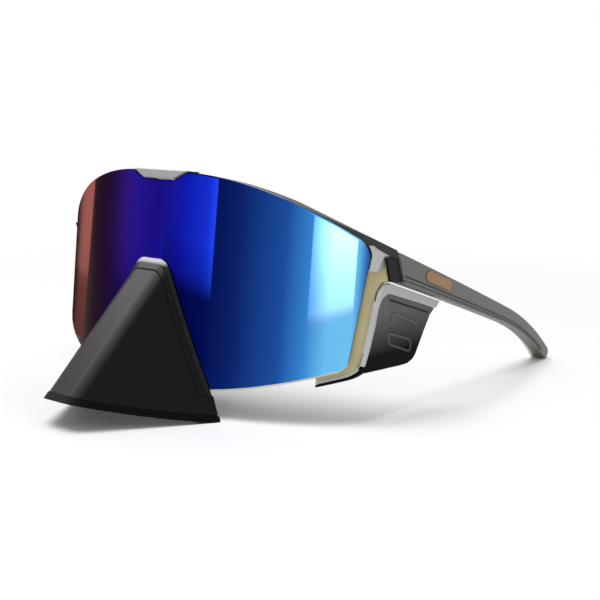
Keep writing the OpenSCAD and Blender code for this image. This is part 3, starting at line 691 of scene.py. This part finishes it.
def wall_card(name, seen_from, elevations, distance, along, climb, foot=1.0, tint=(1.0, 1.0, 1.0),
              shown_to=None):
    """An upright glowing board that only reflections show, from the first to the last azimuth of along,
    which gives the radiance there. climb gives the share of it at each elevation, and the rest comes from
    the radiance of the board's foot. A radiance of one is the white room's. shown_to keeps the glow to one
    piece."""
    ends = [far_point(seen_from, az, 0, distance) for az in (along[0][0], along[-1][0])]
    z0, z1 = (seen_from[2] + distance * math.tan(math.radians(e)) for e in elevations)
    # No board reaches below the table
    z0 = max(z0, 1 * MM)
    mesh = bpy.data.meshes.new(name)
    mesh.from_pydata([(ends[0].x, ends[0].y, z0), (ends[1].x, ends[1].y, z0),
                      (ends[1].x, ends[1].y, z1), (ends[0].x, ends[0].y, z1)], [], [(0, 1, 2, 3)])
    board = bpy.data.objects.new(name, mesh)
    bpy.context.scene.collection.objects.link(board)
    board.visible_camera = board.visible_diffuse = board.visible_shadow = board.visible_transmission = False
    made, tree = new_material(name + "_glow")
    place = add(tree, "ShaderNodeSeparateXYZ", Vector=add(tree, "ShaderNodeTexCoord").outputs["Object"])
    run = ends[1] - ends[0]
    axis = "X" if abs(run.x) > abs(run.y) else "Y"
    first, last = (getattr(end, axis.lower()) for end in ends)

    def share_along(az):
        """Where the ray at this azimuth meets the board, as a share of its width."""
        ray = far_point((0, 0, 0), az, 0, 1)
        start = Vector(seen_from) - ends[0]
        return (start.x * ray.y - start.y * ray.x) / (run.x * ray.y - run.y * ray.x)

    def share_up(elevation):
        """Where the ray at this elevation meets the board, as a share of its height."""
        reach = seen_from[2] + distance * math.tan(math.radians(elevation))
        return min(max((reach - z0) / (z1 - z0), 0.0), 1.0)

    top = max(value for _, value in along)
    across = add(tree, "ShaderNodeMapRange", {"From Min": first, "From Max": last}, Value=place.outputs[axis])
    upward = add(tree, "ShaderNodeMapRange", {"From Min": z0, "From Max": z1}, Value=place.outputs["Z"])
    level = add(tree, "ShaderNodeValToRGB", Fac=across.outputs[0],
                stops=[(share_along(az), (value / top,) * 3 + (1.0,)) for az, value in along])
    share = add(tree, "ShaderNodeValToRGB", Fac=upward.outputs[0],
                stops=[(share_up(el), (value,) * 3 + (1.0,)) for el, value in climb])
    # foot + (level - foot) * share
    level = add(tree, "ShaderNodeMath", {"operation": "MULTIPLY_ADD", "1": top, "2": -foot},
                i0=level.outputs["Color"])
    level = add(tree, "ShaderNodeMath", {"operation": "MULTIPLY_ADD", "2": foot}, i0=level.outputs[0],
                i1=share.outputs["Color"])
    glow = add(tree, "ShaderNodeEmission", {"Color": tint + (1.0,)}, Strength=level.outputs[0])
    add(tree, "ShaderNodeOutputMaterial", Surface=glow.outputs[0])
    mesh.materials.append(made)
    if shown_to:
        lit = bpy.data.collections.new(name + "_lights")
        lit.objects.link(shown_to)
        board.light_linking.receiver_collection = lit


studio()
# The soft light from above and in front, and a gloss along the cover's ridge
softbox("front_overhead", (0, -0.36, 1.2), (0, 0, 0), width=0.8, height=0.6, radiance=6.6)
softbox("ridge_light", (-0.81, -0.1, 1.05), (0, 0, 0.03), width=1.15, height=1.15, radiance=8.5,
        glossy_only=True)
# What the lens mirrors: a bright wall in its middle, a violet one towards the wearer's right, a window at
# its left end and a warm wall close by its right end. Places in metres, azimuths and elevations in degrees.
wall_card("blue_band", (0.010, -0.052, 0.055), (-0.6, 14), 2.6,
          along=[(-46, 2.9), (-40, 3.6), (-37.5, 4.4), (-32, 6.4), (-25, 7.4), (-21.5, 7.8), (-19, 9.4),
                 (-16.6, 10.0)],
          climb=[(-0.5, 0.0), (0.0, 0.23), (0.7, 0.56), (2.7, 0.98), (6.0, 1.0)])
wall_card("violet_side", (-0.012, -0.053, 0.052), (-10, 40), 0.75,
          along=[(-91, 0.8), (-85, 0.9), (-74, 1.3), (-65, 2.7), (-58, 2.9), (-50, 2.6), (-44, 2.8),
                 (-40.2, 3.6)],
          climb=[(-4.0, 0.0), (-2.0, 0.7), (1.0, 1.0)], tint=(1.0, 0.78, 1.08))
wall_card("window", (0.060, -0.036, 0.055), (-1.9, 14), 1.6,
          along=[(22.6, 4.4), (29, 6.0), (40.2, 6.3)],
          climb=[(-1.9, 0.02), (-1.65, 0.08), (-1.25, 0.3), (0.6, 0.46), (3.0, 0.86), (6.0, 1.0)],
          foot=1.6, tint=(1.0, 0.6, 0.6))
wall_card("brown_side", (-0.042, -0.047, 0.050), (-30, 40), 0.10,
          along=[(-92.6, 8.0), (-95.5, 7.4), (-98, 5.4), (-101, 4.1), (-107, 1.9), (-113, 0.5), (-119, 0.06),
                 (-140, 0.05)],
          climb=[(-27, 0.24), (-15, 0.32), (-12.5, 0.42), (-10.5, 0.72), (-2, 0.92), (12, 1.1)],
          foot=0.0, tint=(1.0, 0.4, 0.33), shown_to=shield)


def camera():
    """Sets the photograph's camera up."""
    turn, down, roll = (math.radians(v) for v in (CAMERA_TURN, CAMERA_DOWN, CAMERA_ROLL))
    ahead = Vector((-math.sin(turn) * math.cos(down), math.cos(turn) * math.cos(down), -math.sin(down)))
    level = Vector((math.cos(turn), math.sin(turn), 0))
    above = level.cross(ahead)
    side = level * math.cos(roll) + above * math.sin(roll)
    up = above * math.cos(roll) - level * math.sin(roll)
    axes = Matrix((side, up, -ahead)).transposed().to_4x4()
    data = bpy.data.cameras.new("camera")
    data.sensor_width = CAMERA_FRAME
    data.lens = CAMERA_LENS
    data.clip_start = 0.01
    made = bpy.data.objects.new("camera", data)
    bpy.context.scene.collection.objects.link(made)
    made.matrix_world = Matrix.Translation(REST @ Vector(CAMERA_AT)) @ TURN @ axes
    bpy.context.scene.camera = made


camera()
bpy.context.scene.view_settings.view_transform = "Standard"
